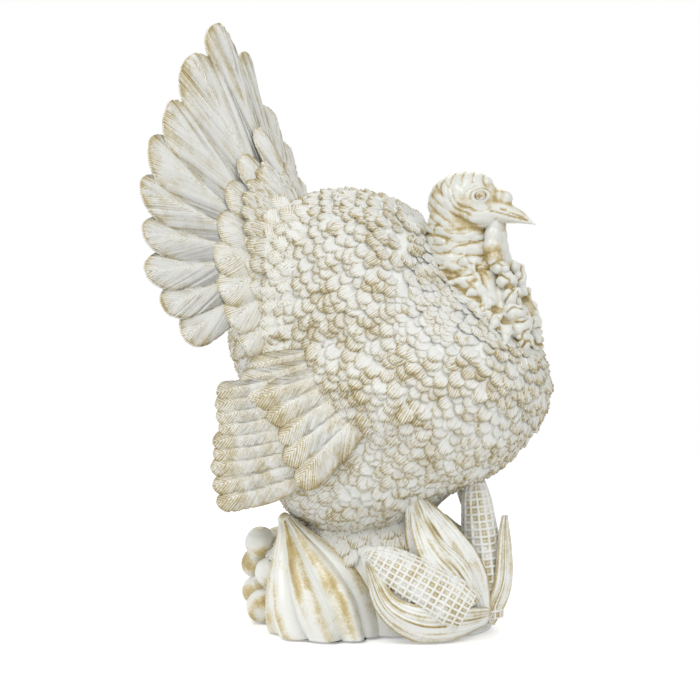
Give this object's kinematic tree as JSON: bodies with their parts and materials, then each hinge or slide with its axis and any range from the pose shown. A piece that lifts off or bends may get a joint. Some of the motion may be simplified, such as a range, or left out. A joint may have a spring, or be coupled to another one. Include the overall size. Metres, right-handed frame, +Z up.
{
  "type": "turkey figure",
  "caption": "Standing turkey figure with a fanned tail, set on a harvest base of gourds, corn, grapes and husk leaves; a rigid table decoration.",
  "frame": {"origin": "on the table, under the middle of the plinth, on the underside of the felt", "axes": "+X is the way the bird faces, +Y is its left side, +Z is up"},
  "size_m": [0.2003, 0.2558, 0.3466],
  "materials": {
    "resin_plumage": "gold paint under a wiped white wash, satin",
    "resin_skin": "gold paint under a wiped white wash, semi-gloss",
    "resin_produce": "gold paint under a wiped white wash, semi-gloss",
    "resin_base": "white wash, satin",
    "felt": "felt",
    "wood": "bare"
  },
  "bodies": {
    "root": {"body": "resin_plumage", "pour_plug": "resin_base", "neck_dowel": "wood", "tail_dowel_right": "wood", "tail_dowel_left": "wood", "neck_and_head": "resin_skin", "wattle_right": "resin_skin", "wattle_left": "resin_skin", "tail_core": "resin_plumage", "tail_feather_middle": "resin_plumage", "tail_feather_right_1": "resin_plumage", "tail_feather_right_2": "resin_plumage", "tail_feather_right_3": "resin_plumage", "tail_feather_right_4": "resin_plumage", "tail_feather_right_5": "resin_plumage", "tail_feather_right_6": "resin_plumage", "tail_feather_right_7": "resin_plumage", "tail_feather_right_8": "resin_plumage", "tail_feather_left_1": "resin_plumage", "tail_feather_left_2": "resin_plumage", "tail_feather_left_3": "resin_plumage", "tail_feather_left_4": "resin_plumage", "tail_feather_left_5": "resin_plumage", "tail_feather_left_6": "resin_plumage", "tail_feather_left_7": "resin_plumage", "tail_feather_left_8": "resin_plumage", "tail_coverts": "resin_plumage", "right_wing_shoulder": "resin_plumage", "right_wing_secondaries": "resin_plumage", "right_wing_primaries": "resin_plumage", "left_wing_shoulder": "resin_plumage", "left_wing_secondaries": "resin_plumage", "left_wing_primaries": "resin_plumage", "gourd_right": "resin_produce", "gourd_left": "resin_produce", "corn_standing": "resin_produce", "corn_front": "resin_produce", "grape_1": "resin_produce", "grape_2": "resin_produce", "grape_3": "resin_produce", "grape_4": "resin_produce", "grape_5": "resin_produce", "grape_6": "resin_produce", "grape_7": "resin_produce", "grape_8": "resin_produce", "husk_lower": "resin_produce", "husk_upper": "resin_produce", "husk_broad": "resin_produce", "husk_inner": "resin_produce", "husk_front": "resin_produce", "husk_left_broad": "resin_produce", "husk_left_lower": "resin_produce", "plinth": "resin_base", "base_felt": "felt"}
  },
  "joints": []
}
